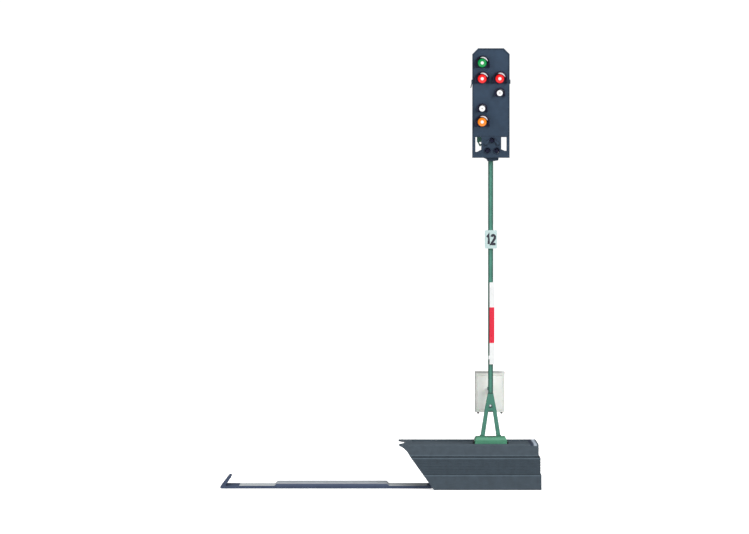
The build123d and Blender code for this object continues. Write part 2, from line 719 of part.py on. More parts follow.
def make_lamp_housing():
    """The light-tight box behind the shield, open to the front."""
    corner = HEAD_CORNER - 0.3
    points = [
        (-HOUSING_HALF_X, HOUSING_BOTTOM),
        (HOUSING_HALF_X, HOUSING_BOTTOM),
        (HOUSING_HALF_X, HOUSING_TOP - corner),
        (HOUSING_HALF_X - corner, HOUSING_TOP),
        (-HOUSING_HALF_X + corner, HOUSING_TOP),
        (-HOUSING_HALF_X, HOUSING_TOP - corner),
    ]
    housing = prism(points, SHIELD_BACK, HOUSING_BACK)
    w = HOUSING_WALL
    inside = [
        (-HOUSING_HALF_X + w, HOUSING_BOTTOM + w),
        (HOUSING_HALF_X - w, HOUSING_BOTTOM + w),
        (HOUSING_HALF_X - w, HOUSING_TOP - corner - w / 2),
        (HOUSING_HALF_X - corner - w / 2, HOUSING_TOP - w),
        (-HOUSING_HALF_X + corner + w / 2, HOUSING_TOP - w),
        (-HOUSING_HALF_X + w, HOUSING_TOP - corner - w / 2),
    ]
    housing -= prism(inside, SHIELD_BACK - 1, HOUSING_BACK - w)
    wire_y0, wire_y1 = SHIELD_BACK + 0.6, HOUSING_BACK - w
    housing -= block(-0.5, 0.5, wire_y0, wire_y1, HOUSING_BOTTOM - 1, HOUSING_BOTTOM + 1)
    for level in (71.5, 74.5, 77.5, 80.5):
        housing -= block(-1.6, 1.6, HOUSING_BACK - 0.15, HOUSING_BACK + 1, level, level + 0.3)
    return housing


def make_light_baffle():
    """The plate between the board and the shield, with a light well for each lamp."""
    x = HOUSING_HALF_X - HOUSING_WALL - 0.05
    baffle = block(-x, x, SHIELD_BACK + 0.05, -0.45, HOUSING_BOTTOM + 0.5, HOUSING_TOP - 1.3)
    for x, z, lens, _hood, _drop in LAMPS.values():
        baffle -= along_y(x, z, SHIELD_BACK - 1, 0, min(lens, 0.72))
    return baffle


def make_lamp_board():
    """The narrow board that carries the light-emitting diodes."""
    x = HOUSING_HALF_X - HOUSING_WALL - 0.05
    return block(-x, x, 0.2, 0.6, HOUSING_BOTTOM + 0.5, HOUSING_TOP - 1.3)


def make_lamp_leds():
    """One surface-mounted diode behind each lens."""
    leds = []
    for x, z, _lens, _hood, _drop in LAMPS.values():
        leds.append(block(x - 0.4, x + 0.4, -0.35, 0.2, z - 0.25, z + 0.25).solid())
    return Compound(children=leds)


def make_lens(x, z, radius):
    """A lens with a domed front and a stem through the shield."""
    front = SHIELD_FRONT + 0.1 - BEZEL_THICKNESS - LENS_PROUD
    collar = SHIELD_FRONT + 0.1 - BEZEL_THICKNESS
    lens = along_y(x, z, front, collar, radius)
    lens = fillet(lens.edges().sort_by(Axis.Y)[0], 0.3)
    return lens + along_y(x, z, collar, SHIELD_BACK + 0.3, min(radius - 0.1, 0.68))


def hood_outline(x, z, radius, drop, y):
    """A D outline: a half circle over straight sides that stand a little apart at a flat foot."""
    splay = 0.05
    top = ThreePointArc((x - radius, y, z), (x, y, z + radius), (x + radius, y, z))
    base = Polyline(
        (x + radius, y, z),
        (x + radius + splay, y, z - drop),
        (x - radius - splay, y, z - drop),
        (x - radius, y, z),
    )
    return make_face(top.edges() + base.edges())


def make_visor(x, z, lens, radius, drop):
    """A black bezel plate with a hood that is long at its crown and short at its foot."""
    root = SHIELD_FRONT + 0.1
    reach = HOOD_REACH * radius / BIG_HOOD
    outer = extrude(hood_outline(x, z, radius, drop, root), reach + BEZEL_THICKNESS, dir=(0, -1, 0))
    bezel = root - BEZEL_THICKNESS
    hollow = hood_outline(x, z, radius - HOOD_WALL, drop + 1, bezel)
    inner = extrude(hollow, reach + 1, dir=(0, -1, 0))
    visor = outer - inner
    tip = bezel - reach
    short = bezel - HOOD_SHORT_REACH
    wedge = [
        (tip - 1, z + radius),
        (tip, z + radius),
        (short, z - drop),
        (short, z - drop - 1),
        (tip - 1, z - drop - 1),
    ]
    visor -= prism_along_x(wedge, x - radius - 1, x + radius + 1)
    return visor - along_y(x, z, root - 1, root + 1, min(lens - 0.1, 0.68) + 0.01)


def make_substitute_housing():
    """The small box behind the three unlit auxiliary lamps."""
    left, right = SUBSTITUTE_MID - 1.75, SUBSTITUTE_MID + 1.75
    body = block(left, right, SHIELD_BACK, 0.5, 65.2, HOUSING_BOTTOM)
    body -= block(left + 0.4, right - 0.4, SHIELD_BACK - 1, 0.1, 65.6, HOUSING_BOTTOM - 0.2)
    for x, z in SUBSTITUTE_LAMPS:
        body -= along_y(x, z, SHIELD_BACK - 1, SHIELD_BACK + 0.3, SUBSTITUTE_RADIUS - 0.08)
    return body


def make_substitute_lenses():
    """Three small dark lenses."""
    lenses = []
    for x, z in SUBSTITUTE_LAMPS:
        lens = along_y(x, z, SHIELD_FRONT - 0.05, SHIELD_BACK - 0.05, SUBSTITUTE_RADIUS - 0.02)
        lenses.append(fillet(lens.edges().sort_by(Axis.Y)[0], 0.15).solid())
    return Compound(children=lenses)


def make_head_neck():
    """The clamp that holds the head on the mast's top."""
    points = [
        (-0.62, HEAD_BOTTOM - 0.6),
        (0.7, HEAD_BOTTOM - 0.6),
        (1.4, HEAD_BOTTOM - 0.5),
        (1.5, HEAD_BOTTOM - 0.2),
        (1.5, HEAD_BOTTOM),
        (1.3, HEAD_BOTTOM + 0.15),
        (1.3, 65.2),
        (-1.3, 65.2),
        (-1.3, HEAD_BOTTOM),
        (-0.78, HEAD_BOTTOM - 0.25),
    ]
    neck = prism(points, SHIELD_BACK, 0.85)
    gap = 0.01
    x, y = MAST_HALF_X + gap, MAST_HALF_Y + gap
    return neck - block(-x, x, -y, y, 60, MAST_TOP + gap)


def make_service_platform():
    """The rear working platform: a slotted plate on the back of the lamp housing."""
    top = PLATFORM_HEIGHT + PLATFORM_THICKNESS
    platform = block(-2.6, 2.6, HOUSING_BACK, RAIL_BACK + 0.2, PLATFORM_HEIGHT, top)
    for column in range(8):
        x = -2.1 + column * 0.6
        platform -= block(x - 0.15, x + 0.15, HOUSING_BACK + 0.4, RAIL_BACK - 0.3, 60, 80)
    return platform


def make_platform_railing():
    """A wire hoop round the head's back, on two posts, with tabs that grip the shield's edges."""
    grip = HEAD_HALF_X + 0.08
    hoop = [
        (-grip, SHIELD_BACK + 0.1),
        (-RAIL_HALF_X, 0.2),
        (-RAIL_HALF_X, RAIL_CORNER),
        (-POST_HALF_X, RAIL_BACK),
        (POST_HALF_X, RAIL_BACK),
        (RAIL_HALF_X, RAIL_CORNER),
        (RAIL_HALF_X, 0.2),
        (grip, SHIELD_BACK + 0.1),
    ]
    railing = None
    for level, run in ((RAIL_HEIGHT, hoop), (RAIL_MIDDLE, hoop[2:6])):
        corners = [(x, y, level) for x, y in run]
        for start, end in zip(corners, corners[1:]):
            length = rod(start, end, RAIL_RADIUS) + Pos(*end) * Sphere(RAIL_RADIUS)
            railing = length if railing is None else railing + length
    for side in (-1, 1):
        post = side * POST_HALF_X
        foot = PLATFORM_HEIGHT + PLATFORM_THICKNESS
        railing += rod((post, RAIL_BACK, foot), (post, RAIL_BACK, RAIL_HEIGHT), RAIL_RADIUS)
        stay = side * RAIL_HALF_X
        stay_end = (stay, RAIL_CORNER, RAIL_MIDDLE)
        railing += rod(stay_end, (stay, RAIL_CORNER, RAIL_HEIGHT), RAIL_RADIUS)
        railing += Pos(*stay_end) * Sphere(RAIL_RADIUS)
        x0, x1 = sorted((side * HEAD_HALF_X, side * (HEAD_HALF_X + 0.16)))
        y0, y1 = SHIELD_FRONT + 0.05, SHIELD_BACK + 0.3
        railing += block(x0, x1, y0, y1, RAIL_HEIGHT - 0.4, RAIL_HEIGHT + 0.4)
    latch_top = (-grip, SHIELD_BACK + 0.1, RAIL_HEIGHT - 0.3)
    latch_end = (-grip - 0.22, SHIELD_BACK + 0.1, RAIL_HEIGHT - 1.2)
    return railing + rod(latch_top, latch_end, LATCH_RADIUS)


def make_platform_hanger():
    """The strap under the platform that ends in a turned hook."""
    strap = block(-2.6, -1.75, HOUSING_BACK + 0.1, HOUSING_BACK + 0.4, 67.1, PLATFORM_HEIGHT)
    y = HOUSING_BACK + 0.25
    bend = (-2.0, y, 66.4)
    for end in ((-2.45, y, 67.3), (-1.75, y, 66.7)):
        strap += rod(bend, end, HANGER_RADIUS)
    return strap + Pos(*bend) * Sphere(HANGER_RADIUS)


def make_parts():
    """Every piece of the signal, by name."""
    front_row, rear_row = tail_rows()
    parts = {
        "base_housing": make_base_housing(),
        "base_plate": make_base_plate(),
        "plate_screws": make_plate_screws(),
        "decoder_board": make_decoder_board(),
        "decoder_chip": make_chip(1.0, 5.6, 4.2, 2.2, 0.9, 8),
        "output_driver": make_chip(-3.0, 6.3, 2.6, 1.6, 0.8, 4),
        "bridge_rectifier": make_chip(5.9, 2.8, 1.8, 2.0, 1.1, 2),
        "buffer_capacitor": make_buffer_capacitor(),
        "board_resistors": make_board_resistors(),
        "contact_spring_front": make_contact_spring(front_row),
        "contact_spring_rear": make_contact_spring(rear_row),
        "mast_socket": make_mast_socket(),
        "socket_contacts": make_socket_contacts(),
        "track_clip_arm": make_track_clip_arm(),
        "contact_strip_front": make_contact_strip(-1),
        "contact_strip_rear": make_contact_strip(1),
        "strip_cover": make_strip_cover(),
        "foot_plug": make_foot_plug(),
        "plug_pins": make_plug_pins(),
        "mast_foot": make_mast_foot(),
        "mast_frame_front": make_mast_frame(-1),
        "mast_frame_rear": make_mast_frame(1),
        "gusset_rivet": make_gusset_rivet(),
        "mast_profile": make_mast_profile(),
        "lamp_wires": make_lamp_wires(),
        "mast_sign": make_mast_sign(),
        "number_plate": make_number_plate(),
        "cabinet_body": make_cabinet_body(),
        "cabinet_floor": make_cabinet_floor(),
        "cabinet_bracket": make_cabinet_bracket(),
        "head_neck": make_head_neck(),
        "head_shield": make_head_shield(),
        "lamp_housing": make_lamp_housing(),
        "light_baffle": make_light_baffle(),
        "lamp_board": make_lamp_board(),
        "lamp_leds": make_lamp_leds(),
        "substitute_housing": make_substitute_housing(),
        "substitute_lenses": make_substitute_lenses(),
        "service_platform": make_service_platform(),
        "platform_railing": make_platform_railing(),
        "platform_hanger": make_platform_hanger(),
    }
    for name, (x, z, lens, hood, drop) in LAMPS.items():
        parts[f"lens_{name}"] = make_lens(x, z, lens)
        parts[f"visor_{name}"] = make_visor(x, z, lens, hood, drop)
    return parts


os.makedirs("parts", exist_ok=True)
for part_name, shape in make_parts().items():
    export_step(shape, f"parts/{part_name}.step")
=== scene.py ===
import json
import math

import bmesh
import bpy
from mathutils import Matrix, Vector


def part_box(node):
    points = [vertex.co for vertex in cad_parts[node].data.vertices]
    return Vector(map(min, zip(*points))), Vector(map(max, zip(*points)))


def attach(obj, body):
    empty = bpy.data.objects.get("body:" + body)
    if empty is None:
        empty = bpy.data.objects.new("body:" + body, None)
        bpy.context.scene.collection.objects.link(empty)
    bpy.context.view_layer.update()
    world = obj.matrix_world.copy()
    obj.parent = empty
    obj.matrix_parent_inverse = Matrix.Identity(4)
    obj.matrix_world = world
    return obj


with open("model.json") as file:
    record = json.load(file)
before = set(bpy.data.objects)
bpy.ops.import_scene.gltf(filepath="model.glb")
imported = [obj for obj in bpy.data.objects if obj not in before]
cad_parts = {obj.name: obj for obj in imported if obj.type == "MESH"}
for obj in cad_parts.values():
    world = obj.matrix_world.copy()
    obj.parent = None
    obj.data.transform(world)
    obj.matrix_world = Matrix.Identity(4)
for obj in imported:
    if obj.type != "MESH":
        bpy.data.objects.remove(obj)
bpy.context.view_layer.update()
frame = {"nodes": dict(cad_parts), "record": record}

MM = 0.001
NODES = frame["nodes"]
SLOT_OF = {row["node"]: row["material_slot"] for row in frame["record"]["subparts"]}


# ---- camera: the signal seen square on from a long way off, a little to the track side ----

CAMERA_PLACE = (-0.0225, -0.7452, 0.05587)
CAMERA_PITCH = 89.0
CAMERA_LENS = 184.8


def make_camera():
    data = bpy.data.cameras.new("camera")
    data.lens = CAMERA_LENS
    data.clip_start = 0.01
    data.clip_end = 20.0
    camera = bpy.data.objects.new("camera", data)
    camera.location = CAMERA_PLACE
    camera.rotation_euler = (math.radians(CAMERA_PITCH), 0.0, 0.0)
    bpy.context.scene.collection.objects.link(camera)
    bpy.context.scene.camera = camera


# ---- light and floor ----

AMBIENT_FRONT = 0.55
AMBIENT_BACK = 0.06
AMBIENT_TOP = 0.25
BACKDROP = 1.05
FLOOR_GLOW = 0.64


def area_light(name, place, target, size, power, colour=(1.0, 1.0, 1.0)):
    data = bpy.data.lights.new(name, "AREA")
    data.shape = "RECTANGLE"
    data.size, data.size_y = size
    data.energy = power
    data.color = colour
    light = bpy.data.objects.new(name, data)
    light.location = place
    light.rotation_mode = "QUATERNION"
    light.rotation_quaternion = (Vector(target) - Vector(place)).to_track_quat("-Z", "Y")
    bpy.context.scene.collection.objects.link(light)


def make_studio():
    """A white surround that is dimmer behind the signal, so that outlines read dark against it."""
    world = bpy.data.worlds.new("studio")
    world.use_nodes = True
    tree = world.node_tree
    background = tree.nodes["Background"]
    ray = tree.nodes.new("ShaderNodeLightPath")
    direction = tree.nodes.new("ShaderNodeTexCoord")
    split = tree.nodes.new("ShaderNodeSeparateXYZ")
    behind = tree.nodes.new("ShaderNodeMapRange")
    behind.inputs["From Min"].default_value = -0.2
    behind.inputs["From Max"].default_value = 0.6
    behind.inputs["To Min"].default_value = AMBIENT_FRONT
    behind.inputs["To Max"].default_value = AMBIENT_BACK
    above = tree.nodes.new("ShaderNodeMath")
    above.operation = "MULTIPLY_ADD"
    above.use_clamp = False
    above.inputs[1].default_value = AMBIENT_TOP
    seen = tree.nodes.new("ShaderNodeMix")
    seen.inputs["B"].default_value = BACKDROP
    tree.links.new(direction.outputs["Generated"], split.inputs[0])
    tree.links.new(split.outputs["Y"], behind.inputs["Value"])
    tree.links.new(split.outputs["Z"], above.inputs[0])
    tree.links.new(behind.outputs["Result"], above.inputs[2])
    tree.links.new(ray.outputs["Is Camera Ray"], seen.inputs["Factor"])
    tree.links.new(above.outputs[0], seen.inputs["A"])
    tree.links.new(seen.outputs["Result"], background.inputs["Strength"])
    background.inputs["Color"].default_value = (1.0, 1.0, 1.0, 1.0)
    bpy.context.scene.world = world
    bpy.context.scene.view_settings.view_transform = "Standard"
    area_light("key", (0.4, -0.6, 0.5), (0.0, 0.0, 0.04), (0.5, 0.5), 5.0)
    area_light("fill", (-0.5, -0.6, 0.2), (0.0, 0.0, 0.04), (0.3, 0.4), 0.9)
    area_light("top", (0.0, 0.0, 0.9), (0.0, 0.0, 0.0), (0.8, 0.8), 2.6)


def make_floor():
    """A white table, lit evenly from below its surface so that it meets the backdrop unseen."""
    mesh = bpy.data.meshes.new("floor")
    half = 8.0
    corners = [(-half, -half, 0), (half, -half, 0), (half, half, 0), (-half, half, 0)]
    mesh.from_pydata([Vector(c) for c in corners], [], [(0, 1, 2, 3)])
    floor = bpy.data.objects.new("floor", mesh)
    floor.location.z = -0.00002
    floor.visible_diffuse = False
    bpy.context.scene.collection.objects.link(floor)
    material = bpy.data.materials.new("floor_white")
    material.use_nodes = True
    shader = material.node_tree.nodes["Principled BSDF"]
    shader.inputs["Base Color"].default_value = (0.9, 0.9, 0.9, 1.0)
    shader.inputs["Roughness"].default_value = 0.9
    shader.inputs["Specular IOR Level"].default_value = 0.1
    shader.inputs["Emission Color"].default_value = (1.0, 1.0, 1.0, 1.0)
    shader.inputs["Emission Strength"].default_value = FLOOR_GLOW
    mesh.materials.append(material)


# ---- materials ----

def linear(r, g, b):
    """An sRGB colour of 0 to 255 as linear numbers."""
    def one(c):
        c /= 255.0
        return c / 12.92 if c <= 0.04045 else ((c + 0.055) / 1.055) ** 2.4
    return (one(r), one(g), one(b), 1.0)


SOFT_SHINE = {"Specular_IOR_Level": 0.25}
GLINT_GLOW = {"Emission_Color": (1.0, 0.96, 0.98, 1.0), "Emission_Strength": 0.55}
FIRST_TIER = 2.92 * MM
SECOND_TIER = 6.22 * MM
RED_FIELD = (4.15 * MM, 11.07 * MM)
# Tones of the base's three tiers, bottom, middle and top; the middle tier's darker tone is painted
# shade.
FIRST_SHADE = (0.84, 0.86, 0.88, 1.0)
MIDDLE_TIER_SHADE = (0.64, 0.69, 0.72, 1.0)
TOP_SHADE = (1.0, 1.0, 1.0, 1.0)
DULL_SHADE = (0.74, 0.78, 0.79, 1.0)
# Painted highlight along the edges of the base's steps, and painted shade in their grooves.
STEP_EDGE_HIGHLIGHT = (1.35, 1.4, 1.4, 1.0)
STEP_GROOVE_SHADE = (0.3, 0.32, 0.34, 1.0)
# Painted highlight and shade at the tray's right corner:
# distance inwards from the right side, half width, colour.
CORNER_MARKS = [
    (1.15 * MM, 0.4 * MM, linear(165, 176, 190)),
    (1.85 * MM, 0.4 * MM, linear(38, 46, 66)),
]



def tinted(colour, by):
    return (*[min(1.0, c * by) for c in colour[:3]], 1.0)


class Graph:
    """A material's node tree, with short calls for the nodes that these finishes share."""

    def __init__(self, name):
        self.material = bpy.data.materials.new(name)
        self.material.use_nodes = True
        self.tree = self.material.node_tree
        self.shader = self.tree.nodes["Principled BSDF"]

    def node(self, kind, **inputs):
        made = self.tree.nodes.new("ShaderNode" + kind)
        for key, value in inputs.items():
            self.feed(made, key.replace("_", " "), value)
        return made

    def feed(self, node, socket, value):
        if isinstance(value, bpy.types.NodeSocket):
            self.tree.links.new(value, node.inputs[socket])
        else:
            node.inputs[socket].default_value = value

    def place(self):
        return self.node("TexCoord").outputs["Object"]

    def noise(self, scale, detail=3.0, roughness=0.55, vector=None):
        made = self.node("TexNoise", Scale=scale, Detail=detail, Roughness=roughness)
        self.feed(made, "Vector", vector or self.place())
        return made.outputs["Fac"]

    def ramp(self, value, stops):
        made = self.node("ValToRGB", Fac=value)
        while len(made.color_ramp.elements) < len(stops):
            made.color_ramp.elements.new(0.5)
        for element, (at, colour) in zip(made.color_ramp.elements, stops):
            element.position = at
            element.color = colour
        return made.outputs["Color"]

    def span(self, value, low, high, from_low=0.3, from_high=0.7):
        made = self.node("MapRange", Value=value)
        made.inputs["From Min"].default_value = from_low
        made.inputs["From Max"].default_value = from_high
        made.inputs["To Min"].default_value = low
        made.inputs["To Max"].default_value = high
        return made.outputs["Result"]

    def mix(self, share, a, b, blend="MIX"):
        made = self.tree.nodes.new("ShaderNodeMix")
        made.data_type = "RGBA"
        made.blend_type = blend
        for index, value in ((0, share), (6, a), (7, b)):
            if isinstance(value, bpy.types.NodeSocket):
                self.tree.links.new(value, made.inputs[index])
            else:
                made.inputs[index].default_value = value
        return made.outputs[2]

    def maths(self, operation, a, b=0.5):
        made = self.tree.nodes.new("ShaderNodeMath")
        made.operation = operation
        for index, value in ((0, a), (1, b)):
            if isinstance(value, bpy.types.NodeSocket):
                self.tree.links.new(value, made.inputs[index])
            else:
                made.inputs[index].default_value = value
        return made.outputs[0]

    def axis(self, which):
        split = self.node("SeparateXYZ", Vector=self.place())
        return split.outputs[which]

    def edges(self, radius):
        """1 on edges and corners, 0 on flats: how far a rounded normal leaves the true one."""
        soft = self.node("Bevel", Radius=radius)
        soft.samples = 4
        true = self.node("NewGeometry").outputs["True Normal"]
        dot = self.tree.nodes.new("ShaderNodeVectorMath")
        dot.operation = "DOT_PRODUCT"
        self.tree.links.new(soft.outputs["Normal"], dot.inputs[0])
        self.tree.links.new(true, dot.inputs[1])
        return self.span(dot.outputs["Value"], 1.0, 0.0, 0.72, 0.97)

    def bump(self, height, distance, strength=1.0, under=None):
        made = self.node("Bump", Height=height, Distance=distance, Strength=strength)
        if under is not None:
            self.feed(made, "Normal", under)
        return made.outputs["Normal"]

    def set(self, socket, value):
        self.feed(self.shader, socket, value)


def worked(
    name, colour, rough=(0.4, 0.6), mottle=(900.0, 0.12), grain=(9000.0, 0.000006), edge=None, **more
):
    """A moulded or painted surface: mottled colour, uneven gloss, fine grain, and edges tinted paler or
    darker, which is edge wear with painted highlight where they are paler and painted shade where they
    are darker.
    """
    g = Graph(name)
    scale, amount = mottle
    cloud = g.noise(scale, 4.0)
    tone = g.ramp(cloud, [(0.3, tinted(colour, 1 - amount)), (0.7, tinted(colour, 1 + amount))])
    speck = g.noise(scale * 7.0, 2.0)
    tone = g.mix(g.span(speck, 0.0, 0.35, 0.58, 0.75), tone, tinted(colour, 1 - 2.2 * amount))
    if edge:
        radius, by = edge
        # Edge wear, with painted highlight where edges are tinted paler and painted shade where they are
        # tinted darker.
        edge_wear_and_shading = g.maths("MULTIPLY", g.edges(radius), g.span(g.noise(scale * 3.0), 0.35, 1.0, 0.35, 0.6))
        tone = g.mix(edge_wear_and_shading, tone, tinted(colour, by))
    g.set("Base Color", tone)
    g.set("Roughness", g.span(g.noise(scale * 2.0), *rough))
    fine, depth = grain
    g.set("Normal", g.bump(g.noise(fine, 5.0, 0.65), depth))
    for socket, value in more.items():
        g.shader.inputs[socket.replace("_", " ")].default_value = value
    return g


def base_material():
    """Slate-grey moulding in three tones by tier, the middle one darker as painted shade, with painted
    highlight lines at each step's edges and painted shade in its groove.
    """
    g = worked("base_plastic", linear(66, 77, 86), (0.5, 0.65), edge=(0.0002, 1.5), **SOFT_SHINE)
    low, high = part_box("base_housing")
    height = g.axis("Z")
    tone = g.shader.inputs["Base Color"].links[0].from_socket
    share = g.span(height, 0.0, 1.0, low.z, high.z)
    total = high.z - low.z
    shades = [(0.0, FIRST_SHADE)]
    steps = [(FIRST_TIER, FIRST_SHADE, MIDDLE_TIER_SHADE), (SECOND_TIER, MIDDLE_TIER_SHADE, TOP_SHADE)]
    # At each step: painted highlight lines beside it and a painted shade line in its groove.
    for step, below, above in steps:
        shades += [
            ((step - 0.26 * MM) / total, below),
            ((step - 0.2 * MM) / total, STEP_EDGE_HIGHLIGHT),
            ((step - 0.02 * MM) / total, STEP_EDGE_HIGHLIGHT),
            (step / total, STEP_GROOVE_SHADE),
            ((step + 0.16 * MM) / total, above),
        ]
    # A further painted highlight line above the second step.
    shades += [
        ((SECOND_TIER + 0.3 * MM) / total, TOP_SHADE),
        ((SECOND_TIER + 0.34 * MM) / total, STEP_EDGE_HIGHLIGHT),
        ((SECOND_TIER + 0.5 * MM) / total, STEP_EDGE_HIGHLIGHT),
        ((SECOND_TIER + 0.56 * MM) / total, TOP_SHADE),
    ]
    made = g.ramp(share, shades)
    tone = g.mix(1.0, tone, made, "MULTIPLY")
    rim = g.span(height, 0.0, 1.0, high.z - 0.4 * MM, high.z - 0.2 * MM)
    for middle, reach, colour in CORNER_MARKS:
        off = g.maths("ABSOLUTE", g.maths("SUBTRACT", g.axis("X"), high.x - middle))
        here = g.maths("MULTIPLY", rim, g.span(off, 0.9, 0.0, reach * 0.4, reach))
        tone = g.mix(here, tone, colour)
    g.set("Base Color", tone)
    return g


# Heights of the two painted shade lines in the seams of the gusset and their half widths.
GUSSET_SEAM_SHADE = [(18.46 * MM, 0.13 * MM), (14.88 * MM, 0.15 * MM)]

# From the middle of the mast's front to its flange edges, the share of the paint's own colour: a painted
# highlight down the middle, painted shade towards the flange edges.
MAST_PAINTED_SHADING = [
    (0.25, (1.1, 1.1, 1.15, 1.0)),
    (0.5, (0.5, 0.62, 0.62, 1.0)),
    (0.9, (0.18, 0.32, 0.34, 1.0)),
]


def profile_material():
    """Mast paint on the H-section: pale down the middle of its front as painted highlight, dark at the
    flange edges as painted shade.
    """
    g = worked("mast_profile_paint", linear(66, 129, 110), (0.35, 0.5), edge=(0.00005, 1.1))
    low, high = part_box("mast_profile")
    off_centre = g.maths("ABSOLUTE", g.maths("SUBTRACT", g.axis("X"), (low.x + high.x) / 2))
    share = g.maths("DIVIDE", off_centre, (high.x - low.x) / 2)
    shade = g.ramp(share, MAST_PAINTED_SHADING)
    tone = g.shader.inputs["Base Color"].links[0].from_socket
    g.set("Base Color", g.mix(1.0, tone, shade, "MULTIPLY"))
    return g


def frame_material():
    """Mast paint on the A-frames, with edges darkened as painted shade and lines of painted shade above
    and below the gusset.
    """
    g = worked("mast_paint", linear(57, 119, 101), (0.32, 0.5), edge=(0.00013, 0.3))
    height = g.axis("Z")
    tone = g.shader.inputs["Base Color"].links[0].from_socket
    inner = g.span(g.maths("ABSOLUTE", g.axis("X")), 0.9, 0.0, 0.44 * MM, 0.54 * MM)
    for middle, half in GUSSET_SEAM_SHADE:
        off = g.maths("ABSOLUTE", g.maths("SUBTRACT", height, middle))
        # Painted shade in the seam.
        seam_shade = g.maths("MULTIPLY", inner, g.span(off, 1.0, 0.0, half * 0.6, half * 1.3))
        tone = g.mix(seam_shade, tone, linear(14, 44, 40))
    g.set("Base Color", tone)
    return g


def shield_material():
    """Dark blue-grey shield, a shade duller towards its foot, with nearly black edges of painted shade.
    """
    g = worked("shield_plastic", linear(45, 63, 83), (0.5, 0.65), edge=(0.00026, 0.25), **SOFT_SHINE)
    low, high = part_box("head_shield")
    tone = g.shader.inputs["Base Color"].links[0].from_socket
    height = g.span(g.axis("Z"), 0.0, 1.0, low.z, high.z)
    dull = g.ramp(height, [(0.1, DULL_SHADE), (0.6, TOP_SHADE)])
    g.set("Base Color", g.mix(1.0, tone, dull, "MULTIPLY"))
    return g


def cover_material():
    """Clip plastic with the pale sheen of its top painted in; its front face has the dark colour."""
    g = worked("cover_plastic", linear(158, 163, 169), (0.4, 0.6), edge=(0.00008, 1.2))
    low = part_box("strip_cover")[0]
    front = g.span(g.axis("Y"), 1.0, 0.0, low.y + 0.04 * MM, low.y + 0.12 * MM)
    tone = g.shader.inputs["Base Color"].links[0].from_socket
    g.set("Base Color", g.mix(front, tone, linear(60, 72, 98)))
    return g


def rivet_material():
    """Steel with a painted highlight on the rivet's crown and painted shade round its dark lower rim."""
    g = worked("rivet_steel", linear(210, 216, 220), (0.3, 0.4), Metallic=0.2)
    low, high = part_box("gusset_rivet")
    dx = g.maths("SUBTRACT", g.axis("X"), (low.x + high.x) / 2 - 0.06 * MM)
    dz = g.maths("SUBTRACT", g.axis("Z"), (low.z + high.z) / 2 + 0.09 * MM)
    away = g.maths("SQRT", g.maths("ADD", g.maths("MULTIPLY", dx, dx), g.maths("MULTIPLY", dz, dz)))
    tone = g.shader.inputs["Base Color"].links[0].from_socket
    # Painted shade outside the crown.
    g.set("Base Color", g.mix(g.span(away, 0.0, 1.0, 0.12 * MM, 0.24 * MM), tone, linear(16, 40, 44)))
    return g


def sign_material():
    """White enamel with a red field across its middle."""
    g = worked("sign_enamel", linear(234, 236, 236), (0.25, 0.4), (900.0, 0.03), edge=(0.00007, 0.8))
    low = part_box("mast_sign")[0]
    height = g.axis("Z")
    field = [low.z + RED_FIELD[0], low.z + RED_FIELD[1]]
    starts = g.span(height, 0.0, 1.0, field[0] - 0.00002, field[0] + 0.00002)
    ends = g.span(height, 0.0, 1.0, field[1] - 0.00002, field[1] + 0.00002)
    red = g.mix(g.noise(1500.0), linear(220, 10, 52), linear(226, 16, 58))
    tone = g.shader.inputs["Base Color"].links[0].from_socket
    g.set("Base Color", g.mix(g.maths("SUBTRACT", starts, ends), tone, red))
    return g


def cabinet_material():
    """Pale plastic, with a grey line of painted shade along its top and left edges."""
    g = worked("cabinet_plastic", linear(244, 245, 240), (0.4, 0.55), (700.0, 0.04), edge=(0.00018, 0.5))
    low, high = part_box("cabinet_body")
    along, height = g.axis("X"), g.axis("Z")
    # Grey painted shade line under the lid and along the left edge, fading towards the right.
    under_lid = g.maths("ABSOLUTE", g.maths("SUBTRACT", height, high.z - 0.12 * MM))
    lid = g.span(under_lid, 1.0, 0.0, 0.12 * MM, 0.24 * MM)
    left = g.span(along, 1.0, 0.0, low.x + 0.14 * MM, low.x + 0.32 * MM)
    fade = g.span(along, 0.6, 0.15, high.x - 1.2 * MM, high.x - 0.2 * MM)
    rim = g.maths("MULTIPLY", g.maths("MAXIMUM", lid, left), fade)
    tone = g.shader.inputs["Base Color"].links[0].from_socket
    g.set("Base Color", g.mix(rim, tone, linear(96, 98, 98)))
    g.shader.inputs["Subsurface Weight"].default_value = 0.1
    g.shader.inputs["Subsurface Scale"].default_value = 0.0004
    return g


